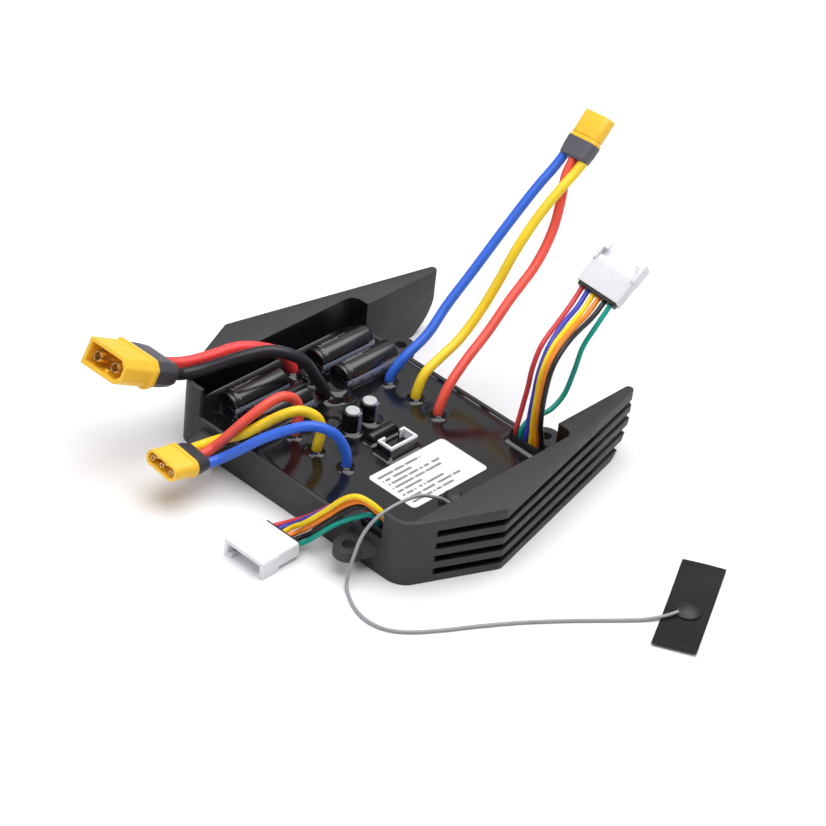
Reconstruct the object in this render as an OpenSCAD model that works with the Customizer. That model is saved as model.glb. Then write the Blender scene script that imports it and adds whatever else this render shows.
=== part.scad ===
// Twin motor speed controller in a die-cast housing with two cooling wings.
// Frame: X across the tray from the left wing to the right wing, Y from the
// front wall to the wing tips, Z up. The origin is the middle of the housing's
// footprint, on the surface that it stands on.

/* [Housing] */
// Height of the wings above the base
housing_h = 24.5; // [23:0.5:28]
// Height of the tray walls between the wings
tray_h = 13; // [12.5:0.5:14]
// Thickness of the tray floor
floor_t = 3; // [2:0.5:4]
// Distance from the middle to the cavity side wall
cavity_half_w = 52; // [51:0.5:53]
// Distance from the middle to the widest point of a wing
wing_half_w = 66.5; // [65:0.5:68]
// Distance from the middle to the inner face of a wing tail
tail_half_w = 45; // [44:0.5:46]
// Radius of the curve that ends a wing, seen from the side
tail_r = 20.5; // [19:0.5:24]

/* [Cooling slots] */
// Height of one slot
slot_h = 2.4; // [2:0.1:3]
// Distance from one slot to the next
slot_pitch = 5.1; // [4.5:0.1:5.5]
// Height of the lowest slot above the base
slot_z = 2.8; // [2:0.1:3.5]
// Depth of a slot in the wing
slot_depth = 3.6; // [2:0.1:3.7]

/* [Mounting ears] */
// Distance between the hole centres across the tray
ear_spacing_x = 69; // [67:0.5:71]
// Diameter of the screw holes
ear_hole_d = 4.3; // [3.2:0.1:5]
// Radius of the round end of an ear
ear_r = 5.1; // [4.5:0.1:5.5]
// Thickness of an ear
ear_t = 3.8; // [3:0.1:5]

/* [Components] */
// Height of the potting compound above the base
potting_h = 12; // [11:0.5:12]
// Diameter of a bulk capacitor
bulk_d = 10; // [9:0.5:10.5]
// Length of a bulk capacitor
bulk_l = 25; // [20:1:26]
// Diameter of a small capacitor
small_d = 6.8; // [5.5:0.1:7]

/* [Leads] */
// Diameter of a battery lead
battery_d = 4.2; // [3.8:0.1:4.6]
// Diameter of a motor lead
motor_d = 3.5; // [3:0.1:3.8]
// Diameter of a sensor lead
sensor_d = 1.8; // [1.4:0.1:2]
// Diameter of the antenna cable
coax_d = 1.2; // [1.1:0.1:1.6]

/* [Hidden] */
$fn = 48;
eps = 0.01;

// Tray, along Y
front_y = -52.5;
back_y = 29.6;
wall_t = 1.5;
cavity_front = front_y + wall_t;
cavity_back = back_y - wall_t;
// Wing outline
gate_half_w = 43;
bend_y = -19.5;
tip_y = 63.5;
tip_w = 2.8;
tail_arc_z = 18;
// Slots start this far behind the front wall
slot_start = 11;
// Ears
ear_reach = 5.9;
ear_top = 10;
ear_base_in = 28.4;
ear_base_out = 41.8;
// Board stack
pad_t = 0.8;
chip_h = 2.2;
board_z = floor_t + pad_t + chip_h;
board_t = 1.6;
board_top = board_z + board_t;
bulk_z = 16;
small_top = 20.8;

// ---------------------------------------------------------------- functions

function unit(v) = v / norm(v);

// Points of an arc of radius r that rounds the corner b between a and c
function corner_arc(a, b, c, r, n = 8) =
    let (u = unit(a - b), v = unit(c - b), half = acos(u * v) / 2,
         mid = b + unit(u + v) * r / sin(half),
         p = b + u * r / tan(half), q = b + v * r / tan(half),
         a0 = atan2(p[1] - mid[1], p[0] - mid[0]),
         a1 = atan2(q[1] - mid[1], q[0] - mid[0]),
         turn = a1 - a0 > 180 ? a1 - a0 - 360 : a1 - a0 < -180 ? a1 - a0 + 360 : a1 - a0)
    [for (i = [0:n]) mid + r * [cos(a0 + turn * i / n), sin(a0 + turn * i / n)]];

// Closed outline of [x, y, corner radius] points, radius 0 keeps a corner sharp
function outline(pts) =
    let (n = len(pts), flat = [for (p = pts) [p[0], p[1]]])
    [for (i = [0:n - 1])
        each (pts[i][2] == 0 ? [flat[i]]
              : corner_arc(flat[(i + n - 1) % n], flat[i], flat[(i + 1) % n], pts[i][2]))];

// Catmull-Rom curve through the route points, with steps pieces to a span
function spline(p, t) = let (t2 = t * t, t3 = t2 * t)
    0.5 * (2 * p[1] + (p[2] - p[0]) * t + (2 * p[0] - 5 * p[1] + 4 * p[2] - p[3]) * t2
           + (3 * p[1] - p[0] - 3 * p[2] + p[3]) * t3);
function curve(route, steps) =
    let (n = len(route), ends = concat([2 * route[0] - route[1]], route,
                                       [2 * route[n - 1] - route[n - 2]]))
    concat([for (i = [0:n - 2], s = [0:steps - 1])
                spline([for (k = [0:3]) ends[i + k]], s / steps)], [route[n - 1]]);

function tangents(p) = let (n = len(p))
    [for (i = [0:n - 1]) unit(p[min(i + 1, n - 1)] - p[max(i - 1, 0)])];
// Normals carried from ring to ring without twist
function carried(t, done) = let (i = len(done))
    i == len(t) ? done
    : carried(t, concat(done, [unit(done[i - 1] - (done[i - 1] * t[i]) * t[i])]));
function side_of(t) = unit(cross(t, abs(t[0]) < 0.8 ? [1, 0, 0] : [0, 1, 0]));

// Solid tube of diameter d along a route
module tube(route, d, sides = 8, steps = 2) {
    path = curve(route, steps);
    t = tangents(path);
    nrm = carried(t, [side_of(t[0])]);
    rings = len(path);
    pts = [for (i = [0:rings - 1], k = [0:sides - 1])
        path[i] + d / 2 * (nrm[i] * cos(360 * k / sides)
                           + cross(t[i], nrm[i]) * sin(360 * k / sides))];
    walls = [for (i = [0:rings - 2], k = [0:sides - 1])
        let (a = i * sides + k, b = i * sides + (k + 1) % sides)
        each [[a, a + sides, b], [b, a + sides, b + sides]]];
    near = [for (k = [1:sides - 2]) [0, k, k + 1]];
    far = [for (k = [1:sides - 2])
        let (o = (rings - 1) * sides) [o, o + k + 1, o + k]];
    polyhedron(points = pts, faces = concat(walls, near, far));
}

// ---------------------------------------------------------------- helpers

module both_sides() {
    children();
    mirror([1, 0, 0]) children();
}

// Extrudes an X-Z outline along Y from y0 to y1
module along_y(y0, y1) {
    translate([0, y1, 0]) rotate([90, 0, 0]) linear_extrude(y1 - y0) children();
}

module plate(w, h, r) {
    polygon(outline([[-w / 2, -h / 2, r], [w / 2, -h / 2, r], [w / 2, h / 2, r],
                     [-w / 2, h / 2, r]]));
}

module box(x0, x1, y0, y1, z0, z1) {
    translate([x0, y0, z0]) cube([x1 - x0, y1 - y0, z1 - z0]);
}

// ---------------------------------------------------------------- housing

wing_plan = [
    [gate_half_w, front_y, 0],
    [cavity_half_w, front_y, 8],
    [wing_half_w, bend_y, 3],
    [tail_half_w + tip_w, tip_y, 1.3],
    [tail_half_w, tip_y, 1.3],
    [tail_half_w, cavity_back - 1, 0],
    [gate_half_w, cavity_front + eps, 0]
];

cavity_plan = [
    [-cavity_half_w, cavity_front, 5], [cavity_half_w, cavity_front, 5],
    [cavity_half_w, cavity_back, 3.5], [-cavity_half_w, cavity_back, 3.5]
];

// Side view of a wing: its rear edge curves in under the tip
module wing_side() {
    arc_y = tip_y - tail_r;
    foot = asin(tail_arc_z / tail_r);
    rotate([90, 0, 90]) linear_extrude(wing_half_w + 1)
        polygon(concat([[front_y - 1, housing_h + 1], [front_y - 1, -eps]],
                       [for (i = [0:12]) let (a = -foot + foot * i / 12)
                           [arc_y + tail_r * cos(a), tail_arc_z + tail_r * sin(a)]],
                       [[tip_y, housing_h + 1]]));
}

module wing() {
    intersection() {
        linear_extrude(housing_h) polygon(outline(wing_plan));
        wing_side();
    }
}

// Open grooves on the outer faces of a wing, closed at their front end
module wing_slots() {
    face = unit([wing_half_w - cavity_half_w, bend_y - front_y]);
    out = [face[1], -face[0]];
    start = [cavity_half_w, front_y] + face * slot_start / face[1];
    bend_in = [wing_half_w - slot_depth - 0.1, bend_y + 1];
    tip_in = [tail_half_w + 1.5, tip_y + 1];
    for (i = [0:3])
        translate([0, 0, slot_z + i * slot_pitch])
            linear_extrude(slot_h)
                polygon([start - out * slot_depth, bend_in, tip_in,
                         [wing_half_w + 8, tip_y + 1], [wing_half_w + 8, bend_y - 10],
                         start + out * 8]);
}

// One ear as it stands on the front wall of the right side
module ear() {
    reach = front_y - ear_reach;
    x = ear_spacing_x / 2;
    translate([0, 0, ear_top - ear_t])
        linear_extrude(ear_t) {
            translate([x, reach]) circle(ear_r);
            polygon([[ear_base_in, front_y + wall_t / 2], [x - ear_r * cos(8), reach + ear_r * sin(8)],
                     [x + ear_r * cos(14), reach + ear_r * sin(14)],
                     [ear_base_out, front_y + wall_t / 2]]);
        }
}

module ear_places() {
    both_sides() {
        children();
        translate([0, front_y + back_y, 0]) mirror([0, 1, 0]) children();
    }
}

module housing() {
    color([0.24, 0.24, 0.25])
    difference() {
        union() {
            both_sides() wing();
            box(-tail_half_w - 1, tail_half_w + 1, front_y, back_y, 0, tray_h);
            ear_places() ear();
        }
        translate([0, 0, floor_t]) linear_extrude(housing_h) polygon(outline(cavity_plan));
        both_sides() wing_slots();
        ear_places() translate([ear_spacing_x / 2, front_y - ear_reach, 0])
            cylinder(d = ear_hole_d, h = 3 * ear_top, center = true);
    }
}

// ---------------------------------------------------------------- board stack

transistor_x = [-42, -30, -18, -6, 6, 18];
transistor_rows = [-26, 6];

module each_transistor() {
    for (x = transistor_x, y = transistor_rows) translate([x, y, 0]) children();
}

module thermal_pads() {
    color([0.55, 0.62, 0.66])
    for (y = transistor_rows) box(-47, 23, y - 6, y + 6, floor_t, floor_t + pad_t);
}

module power_transistors() {
    color([0.12, 0.12, 0.13])
    each_transistor() box(-4.5, 4.5, -5, 5, floor_t + pad_t, board_z);
}

module circuit_board() {
    color([0.05, 0.28, 0.16])
    box(-49, 49, cavity_front + 2, cavity_back - 2, board_z, board_top);
}

module control_chips() {
    color([0.1, 0.1, 0.11])
    for (c = [[30, -32, 10], [30, -12, 6], [-24, -21, 6], [8, 20, 6]])
        box(c[0] - c[2] / 2, c[0] + c[2] / 2, c[1] - c[2] / 2, c[1] + c[2] / 2,
            board_top, board_top + 1.2);
}

module receiver_module() {
    color([0.08, 0.2, 0.45])
    box(36, 46, -30, -14, board_top, board_top + 2.6);
}

// The hump that covers the lead ends of two bulk capacitors
module potting_humps() {
    for (h = [[-25, -5, 7], [-38.5, -5.2, 6.2]])
        translate([h[0], h[1], potting_h - 3.2]) sphere(h[2]);
}

module potting() {
    color([0.05, 0.05, 0.06])
    difference() {
        union() {
            translate([0, 0, floor_t]) linear_extrude(potting_h - floor_t)
                polygon(outline(cavity_plan));
            intersection() {
                potting_humps();
                box(-47, -17, -13, -2.6, floor_t + 3, 2 * potting_h);
            }
        }
        thermal_pads();
        power_transistors();
        circuit_board();
        control_chips();
        receiver_module();
        for (c = bulk_places) bulk_body(c);
        for (c = small_places) small_body(c);
        fuse_body();
        header_block(board_top);
        header_pins();
        for (c = collar_places) collar_block(c);
        grommet_body();
    }
}

// ---------------------------------------------------------------- components

// Front end of each lying capacitor, [x, y]
bulk_places = [[-39.5, -2.6], [-27.5, -2.6], [-39.3, -43.6], [-27.5, -43.6]];

module bulk_body(c) {
    translate([c[0], c[1], bulk_z]) rotate([-90, 0, 0]) {
        cylinder(d = bulk_d, h = 1.6);
        translate([0, 0, 1.6]) cylinder(d = bulk_d - 0.9, h = 1);
        translate([0, 0, 2.6]) cylinder(d = bulk_d, h = bulk_l - 2.6);
    }
}

module bulk_capacitor(i) {
    color([0.09, 0.09, 0.1]) bulk_body(bulk_places[i]);
}

small_places = [[-6.9, -16.6], [-7.4, -8]];

module small_body(c) {
    translate([c[0], c[1], board_top]) {
        cylinder(d = small_d, h = 1.4);
        translate([0, 0, 1.4]) cylinder(d = small_d - 0.7, h = 0.8);
        translate([0, 0, 2.2]) cylinder(d = small_d, h = small_top - board_top - 2.2);
    }
}

module small_capacitor(i) {
    color([0.72, 0.72, 0.74]) small_body(small_places[i]);
}

module fuse_body() {
    translate([2, -17.3, potting_h + 1.8]) rotate([-90, 0, 0]) {
        cylinder(d1 = 3.2, d2 = 4.6, h = 0.8);
        translate([0, 0, 0.8]) cylinder(d = 4.6, h = 11.3);
    }
}

module sleeved_fuse() {
    color([0.07, 0.07, 0.08]) fuse_body();
}

// Upright connector that stays free: black shell, white rim open on one side
header_x = [6.8, 13.3];
header_y = [-18.3, -5.7];
header_z = 15.9;
header_top = 17;
header_wall = 0.9;
header_lining = 0.45;

module header_block(z0, z1 = header_z) {
    box(header_x[0], header_x[1], header_y[0], header_y[1], z0, z1);
}

module header_well(z0) {
    box(header_x[0] + header_wall, header_x[1] - header_wall, header_y[0] + header_wall,
        header_y[1] - header_wall, z0, header_top + 1);
    box(header_x[0] - 1, header_x[0] + 2, header_y[0] + 3.2, header_y[1] - 2.4,
        header_z - 2.5, header_top + 1);
}

// White lining of the well, set into the black wall
module header_liner() {
    box(header_x[0] + header_lining, header_x[1] - header_lining, header_y[0] + header_lining,
        header_y[1] - header_lining, header_z - 2.4, header_z + eps);
}

module header_shell() {
    color([0.12, 0.12, 0.13])
    difference() {
        header_block(board_top);
        header_well(board_top + 2);
        header_liner();
        header_pins();
    }
}

module header_rim() {
    color([0.93, 0.93, 0.92])
    difference() {
        union() {
            header_block(header_z, header_top);
            header_liner();
        }
        header_well(header_z - 3);
    }
}

module header_pins() {
    color([0.85, 0.83, 0.76])
    for (i = [0:3])
        translate([10, header_y[0] + 3.3 + 2 * i, board_top]) box(-0.25, 0.25, -0.25, 0.25, 0, 6.5);
}

module rating_label() {
    color([0.95, 0.95, 0.94])
    translate([25.9, -13.1, potting_h]) linear_extrude(0.15) plate(21.6, 35.4, 1.6);
}

// ---------------------------------------------------------------- antenna

module grommet_body() {
    translate([42.5, -18.8, potting_h - 1]) {
        cylinder(d = 8, h = 2.8);
        translate([0, 0, 2.8]) cylinder(d1 = 8, d2 = 6.6, h = 1.4);
        translate([0, 0, 4.2]) cylinder(d1 = 6.6, d2 = 2.6, h = 1.2);
    }
}

module antenna_grommet() {
    color([0.08, 0.08, 0.09]) grommet_body();
}

antenna_route = [
    [45.2, -20.8, 13.6], [45.3, -22, 14.9], [44.4, -23.8, 16.3], [43.6, -25.6, 17.8],
    [42.9, -29.2, 20], [41.9, -34.7, 22.5], [41.8, -43, 24], [40.5, -52, 21.8],
    [39.2, -57.2, 16.2],
    [40.2, -61.8, 10], [40.8, -64.2, 4.1], [43, -66.6, 0.7], [50.8, -71, 0.6], [58, -72.5, 0.6],
    [64.6, -71, 0.6], [70.5, -66.2, 0.6], [76.5, -57.5, 0.6], [82.5, -47, 0.6],
    [90, -35, 0.6], [99.5, -22, 0.6], [109.5, -9.5, 0.6], [114.5, -3, 0.8],
    [118, 3, 1.3], [119.5, 7.5, 1.6]
];

module antenna_cable() {
    color([0.66, 0.66, 0.67]) tube(antenna_route, coax_d);
}

// Flexible antenna, lying on the floor with its ends curled up
patch_l = 46.4;
patch_w = 14.8;
patch_t = 0.3;
patch_curl = 1;
patch_place = [119.4, 13.2, 0];
patch_turn = -62;

module patch_frame() {
    translate(patch_place) rotate([0, 0, patch_turn]) children();
}

module antenna_patch() {
    lift = [for (i = [-8:8]) [patch_l / 2 * i / 8, patch_curl * pow(i / 8, 2)]];
    color([0.16, 0.15, 0.16])
    patch_frame() along_y(-patch_w / 2, patch_w / 2)
        polygon(concat(lift, [for (i = [8:-1:-8]) lift[i + 8] + [0, patch_t]]));
}

module antenna_dome() {
    color([0.07, 0.07, 0.08])
    patch_frame() translate([2.2, 0, patch_t + 0.1]) intersection() {
        translate([0, 0, -7]) sphere(8.9);
        translate([0, 0, 0]) cylinder(d = 9.5, h = 3);
    }
}

// ---------------------------------------------------------------- battery lead

battery_red_route = [
    [-43.5, -9, 12], [-43.5, -9.4, 15], [-44.7, -13.5, 21.5], [-46.4, -22.6, 27],
    [-49.8, -30.1, 28.4], [-53.1, -38.7, 27], [-56.1, -46.1, 26.2], [-58.6, -50.6, 26.2],
    [-60.7, -57.9, 28.6]
];
battery_black_route = [
    [-25, -10.3, 12], [-25.5, -11.2, 15.5], [-27.2, -14.2, 22], [-29.7, -18, 28.6],
    [-33.5, -23.6, 32.4], [-37.4, -28.8, 33.2], [-42.5, -36.6, 31], [-48.9, -46.1, 27],
    [-52.1, -52.5, 26.2], [-52.3, -57.9, 28.6]
];
battery_plug_place = [-56.5, -57.9, 28.6];
battery_tilt = 27.8;

module battery_wire(route, shade) {
    color(shade) tube(route, battery_d, 10);
}

module battery_frame() {
    translate(battery_plug_place) rotate([battery_tilt, 0, 180]) children();
}

battery_pitch = 8.4;
battery_pin_d = 4;
battery_sheath_l = 13;
battery_flange_t = 1.8;
battery_face = 29;

// Two corners of the shell are cut off so that it can't be plugged in reversed
module battery_outline(w, h, cut, r = 0.5) {
    polygon(outline([[-w / 2 + cut, -h / 2, r], [w / 2, -h / 2, 0.5], [w / 2, h / 2, 0.5],
                     [-w / 2 + cut, h / 2, r], [-w / 2, h / 2 - cut, r],
                     [-w / 2, -h / 2 + cut, r]]));
}

module battery_plug_shell() {
    flange = battery_sheath_l + battery_flange_t;
    color([1, 0.78, 0.12])
    battery_frame() {
        difference() {
            union() {
                along_y(battery_sheath_l, flange) battery_outline(20.2, 11, 2.8, 1.8);
                along_y(flange, battery_face) battery_outline(18.8, 9.7, 2.6, 1.8);
            }
            along_y(flange + 3, battery_face + 1) battery_outline(16.2, 7.1, 2);
            battery_pin_pair();
        }
        box(-0.8, 0.8, flange + 2, battery_face - 2.5, -3.8, -2.6);
    }
}

module battery_pin_pair() {
    for (s = [-1, 1])
        translate([s * battery_pitch / 2, battery_sheath_l, 0]) rotate([-90, 0, 0])
            cylinder(d = battery_pin_d, h = battery_face - battery_sheath_l - 0.6);
}

module battery_plug_pins() {
    color([0.85, 0.62, 0.2])
    battery_frame() difference() {
        battery_pin_pair();
        for (s = [-1, 1], t = [0, 90])
            translate([s * battery_pitch / 2, battery_face - 4, 0]) rotate([0, t, 0])
                box(-2.5, 2.5, -3, 4, -0.25, 0.25);
    }
}

module battery_plug_sheath() {
    color([0.22, 0.22, 0.24])
    battery_frame() {
        along_y(3, battery_sheath_l) battery_outline(18, 9.6, 2.6, 1.8);
        along_y(0, 3) battery_outline(16.4, 8.4, 2.4, 1.8);
    }
}

// ---------------------------------------------------------------- motor leads

front_motor_yellow_route = [
    [-6, -34, 12], [-5.5, -33.8, 15.5], [-5.4, -32.8, 21], [-6.6, -34.5, 26.2],
    [-9.8, -38.8, 28.8], [-13.1, -43.2, 27.4], [-17.7, -47.2, 23], [-22, -51.8, 18.6],
    [-28, -55.8, 14.8], [-32, -60.2, 12.2], [-32.2, -66.4, 12.9]
];
front_motor_red_route = [
    [-17.1, -33.4, 12], [-16.7, -33.2, 15.5], [-16.8, -32, 21.5], [-17.9, -33.7, 26.6],
    [-19, -38.5, 29.2], [-20.2, -44.6, 28], [-22.2, -51.7, 23.6], [-24.9, -56.5, 18.2],
    [-27.6, -60.6, 13.4], [-27.9, -66.4, 12.5]
];
front_motor_blue_route = [
    [6.9, -32.8, 12], [6.9, -32.6, 15.5], [6.1, -33.2, 20], [3.6, -36, 25.7],
    [-0.5, -41.1, 28.8], [-4.7, -46.2, 28], [-11.2, -53.2, 23.6], [-17.6, -58.4, 17.2],
    [-22, -62, 13], [-23.6, -66.4, 12.1]
];
rear_motor_blue_route = [
    [-18.5, 13.5, 12], [-18.4, 13.8, 15.5], [-17.2, 18.3, 21.4], [-16.7, 28.4, 27],
    [-18, 38.7, 34.3], [-18.1, 50.6, 43.6], [-18, 64.4, 55.2], [-17.6, 77.7, 66.2],
    [-17.1, 86, 72.3], [-16.9, 90, 75.8]
];
rear_motor_yellow_route = [
    [-6, 13.5, 12], [-6, 13.7, 15.5], [-6.2, 17.2, 21.4], [-6.5, 25, 24.6],
    [-6.9, 34.5, 28.2], [-7.2, 44, 35.6], [-7.4, 52, 44.6], [-7.6, 59, 53.6],
    [-7.9, 69, 63], [-8.1, 79.5, 70.2], [-8.3, 86, 73.6], [-8.3, 90.4, 76.7]
];
rear_motor_red_route = [
    [5.5, 12.5, 12], [5.5, 12.7, 15.5], [4.8, 17.2, 22], [3.2, 26.5, 27.8],
    [1.6, 38.4, 33.8], [-0.4, 50.6, 41], [-2.8, 64.6, 47.6], [-5, 74, 56],
    [-8, 80.4, 64.4], [-11.4, 85.6, 71.4], [-12.6, 90.2, 76.2]
];
front_motor_plug_place = [-27.9, -66.4, 12.5];
rear_motor_plug_place = [-12.6, 90.2, 76.2];
front_motor_roll = -5.7;
front_motor_tilt = 13.8;
rear_motor_roll = -6.6;
rear_motor_tilt = 43.5;
rear_motor_turn = 3;
motor_pitch = 4.4;
motor_sheath_l = 7;
motor_face = 17.5;

module motor_wire(route, shade) {
    color(shade) tube(route, motor_d);
}

module front_motor_frame() {
    translate(front_motor_plug_place) rotate([front_motor_tilt, 0, 180])
        rotate([0, front_motor_roll, 0]) children();
}

module rear_motor_frame() {
    translate(rear_motor_plug_place) rotate([rear_motor_tilt, 0, rear_motor_turn])
        rotate([0, rear_motor_roll, 0]) children();
}

module three_pins(d, y0, y1) {
    for (i = [-1:1])
        translate([i * motor_pitch, y0, 0]) rotate([-90, 0, 0]) cylinder(d = d, h = y1 - y0);
}

module motor_sheath(w) {
    along_y(0, 3) plate(w - 1, 5.8, 2.7);
    along_y(3, motor_sheath_l) plate(w, 6.2, 2.9);
}

module front_motor_plug_shell() {
    flange = motor_sheath_l + 1.4;
    color([1, 0.78, 0.12])
    front_motor_frame() difference() {
        union() {
            along_y(motor_sheath_l, flange) plate(15.2, 6.6, 3.1);
            along_y(flange, motor_face) plate(14.4, 5.6, 2.6);
        }
        along_y(motor_face - 6, motor_face + 1) difference() {
            plate(12.4, 3.8, 1.7);
            for (s = [-1, 1]) translate([s * motor_pitch / 2, 1.9]) circle(r = 0.6);
        }
        three_pins(2, motor_sheath_l, motor_face);
    }
}

module front_motor_plug_pins() {
    color([0.85, 0.62, 0.2])
    front_motor_frame() three_pins(2, motor_sheath_l, motor_face - 0.4);
}

module front_motor_plug_sheath() {
    color([0.22, 0.22, 0.24]) front_motor_frame() motor_sheath(13.8);
}

module rear_motor_plug_shell() {
    flange = motor_sheath_l + 1;
    color([1, 0.78, 0.12])
    rear_motor_frame() difference() {
        union() {
            along_y(motor_sheath_l, flange) plate(13, 5.9, 2.7);
            along_y(flange, flange + 0.8) plate(12, 5, 2.4);
            along_y(flange + 0.8, motor_face) plate(12.4, 5.6, 2.6);
        }
        three_pins(2.8, motor_sheath_l, motor_face + 1);
    }
}

module rear_motor_plug_sockets() {
    color([0.85, 0.62, 0.2])
    rear_motor_frame() difference() {
        three_pins(2.8, motor_sheath_l, motor_face - 0.6);
        three_pins(2, motor_sheath_l + 3, motor_face);
    }
}

module rear_motor_plug_sheath() {
    color([0.3, 0.3, 0.33]) rear_motor_frame() motor_sheath(13.2);
}

// ---------------------------------------------------------------- sensor leads

sensor_pitch = 2.4;
sensor_seal_l = 1.2;
sensor_face = 17.6;
// Order of the six leads along the shell, left to right
sensor_colors = [[0.8, 0.18, 0.18], [0.2, 0.25, 0.8], [1, 0.8, 0], [1, 0.5, 0.1],
                 [0.1, 0.1, 0.12], [0, 0.58, 0.5]];

rear_sensor_place = [29.5, 58.8, 54.5];
rear_sensor_tilt = 35.9;
rear_sensor_roll = 9.7;
front_sensor_place = [12.8, -66.2, 4.1];
front_sensor_tilt = -1.5;

// Place of the lead i at the rear of the shell
function rear_sensor_end(i) =
    rear_sensor_place + (i - 2.5) * sensor_pitch
        * [cos(rear_sensor_roll), sin(rear_sensor_roll) * sin(rear_sensor_tilt),
           -sin(rear_sensor_roll) * cos(rear_sensor_tilt)];
function front_sensor_end(i) = front_sensor_place + [(i - 2.5) * sensor_pitch, 0, 0];

collar_places = [[37.2, -47.7, 15], [37.2, 23, 16]];
collar_mouth = 2.2;

rear_sensor_routes = [
    [[31.3, 23, 13.8], [31.3, 23.6, 18.5], [30.5, 26, 24], [30, 28.2, 31], [29.8, 29.6, 38.5],
     [29, 34, 45.4], [26.8, 44, 49.2], [24.6, 52.6, 51.8]],
    [[36, 23, 13.8], [35.9, 23.3, 18.5], [35.2, 24.6, 24], [34.8, 25.8, 31], [34.6, 27, 39.5],
     [33.5, 31.6, 47.2], [30.8, 41, 51], [27.4, 52.2, 51.8]],
    [[38.4, 23, 13.8], [38.4, 23, 18.5], [38.1, 22.9, 24], [37.8, 23.6, 33], [37.3, 25.2, 42.5],
     [35.7, 31.4, 49.2], [33.2, 41, 51.4], [29.8, 52, 51.5]],
    [[40.8, 23, 13.8], [40.9, 22.8, 18.5], [40.7, 22, 25.5], [40.5, 22.4, 35], [40, 24.6, 44.8],
     [38.2, 31.2, 50.6], [35.6, 40.8, 52.2], [32.2, 51.6, 51.4]],
    [[43.1, 23, 13.8], [43.2, 22.6, 18.5], [43.4, 20.6, 26.5], [43.2, 20.8, 37],
     [42.4, 24.2, 47.8], [39.8, 34.6, 52.6], [34.8, 51, 51.6]],
    [[33.7, 23, 13.8], [33.8, 23.4, 18.5], [34.4, 27.2, 21.4], [35.4, 34.6, 21.6],
     [35.6, 41, 25.4], [35.6, 44.8, 33.7], [35.6, 47.6, 42], [35.7, 53.6, 48.6]]
];
front_sensor_routes = [
    [[31.5, -47.7, 12.8], [31.5, -48, 17.4], [29.6, -50.2, 20.4], [26.6, -52.4, 20.2],
     [22.4, -55.4, 16.4], [16.4, -58.8, 10.4], [10.2, -61.2, 5.6]],
    [[33.8, -47.7, 12.8], [33.8, -48, 17.4], [31.8, -50.2, 22], [28.8, -52.6, 22.4],
     [24.6, -55.6, 18.6], [18.4, -59, 12], [11.8, -61.2, 5.8]],
    [[43, -47.7, 12.8], [42.8, -48.2, 17.6], [39.6, -50.2, 22.2], [35.4, -52.6, 25.2],
     [32.1, -54.6, 25.9], [28.6, -56.8, 23.6], [24, -59.4, 17.6], [17.6, -61.8, 10],
     [13.6, -62.6, 6.4]],
    [[40.7, -47.7, 12.8], [40.5, -48.2, 17.6], [37.8, -50.4, 21.4], [34.8, -52, 23.4],
     [32, -53.6, 23.4], [28.4, -55.8, 20.6], [23.8, -58.8, 14.8], [18.6, -61.4, 8.4],
     [15.6, -62.4, 5.4]],
    [[38.4, -47.7, 12.8], [38.3, -48.2, 17.4], [35.6, -50.6, 20.8], [32.6, -52.8, 21.4],
     [29.8, -54.9, 19.2], [26, -57.8, 14.8], [21.2, -60.8, 8.2], [17.6, -62.4, 4.6]],
    [[36.1, -47.7, 12.8], [36, -48, 16.6], [34.6, -50.4, 18], [32.4, -52.8, 17],
     [29.6, -55.4, 15.2], [26, -58.6, 11.8], [21.8, -61.6, 6.4], [19.4, -63, 3.8]]
];

module rear_sensor_frame() {
    translate(rear_sensor_place) rotate([rear_sensor_tilt, 0, 0])
        rotate([0, rear_sensor_roll, 0]) children();
}

module front_sensor_frame() {
    translate(front_sensor_place) rotate([front_sensor_tilt, 0, 180]) children();
}

module rear_sensor_wire(i) {
    color(sensor_colors[i])
        tube(concat(rear_sensor_routes[i], [rear_sensor_end(i)]), sensor_d);
}

module front_sensor_wire(i) {
    color(sensor_colors[i])
        tube(concat(front_sensor_routes[i], [front_sensor_end(i)]), sensor_d);
}

// Oval sleeve with an open mouth around the six leads where they leave the potting
module collar_block(c) {
    translate([c[0], c[1], board_top]) linear_extrude(c[2] - board_top) plate(15, 4.4, 2.1);
}

module sensor_collar(c) {
    color([0.1, 0.1, 0.11])
    difference() {
        collar_block(c);
        translate([c[0], c[1], c[2] - collar_mouth]) linear_extrude(3) plate(13.8, 3.2, 1.5);
    }
}

// Six-way shell: a roof over a stepped recess, between two side ears with feet
module sensor_shell() {
    recess = sensor_face - 5;
    color([0.95, 0.95, 0.96])
    difference() {
        union() {
            along_y(sensor_seal_l, recess) plate(17.2, 5.4, 0.6);
            box(-8.6, 8.6, recess - 1, sensor_face, 1.3, 2.7);
            box(-8.6, 8.6, recess - 1, sensor_face - 2.4, -0.9, 1.4);
            for (s = [-1, 1]) {
                box(s * 8.2 - 0.7, s * 8.2 + 0.7, sensor_face - 7.4, sensor_face, -3.6, 2.3);
                box(s * 7.3 - 1.6, s * 7.3 + 1.6, sensor_face - 2.6, sensor_face, -3.6, -2.6);
            }
        }
        for (i = [0:5])
            translate([(i - 2.5) * sensor_pitch, 0, 0])
                box(-0.6, 0.6, sensor_seal_l - 1, sensor_face - 2, -0.5, 0.5);
    }
}

module sensor_contacts() {
    color([0.86, 0.84, 0.76])
    for (i = [0:5])
        translate([(i - 2.5) * sensor_pitch, 0, 0])
            box(-0.32, 0.32, sensor_seal_l, sensor_face - 3.2, -0.32, 0.32);
}

module sensor_seal() {
    color([0.08, 0.08, 0.09]) along_y(0, sensor_seal_l) plate(15.6, 4.2, 0.8);
}

// ---------------------------------------------------------------- assembly

red = [0.92, 0.22, 0.2];
black = [0.12, 0.12, 0.14];
blue = [0.1, 0.4, 0.98];
yellow = [1, 0.8, 0];

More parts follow.
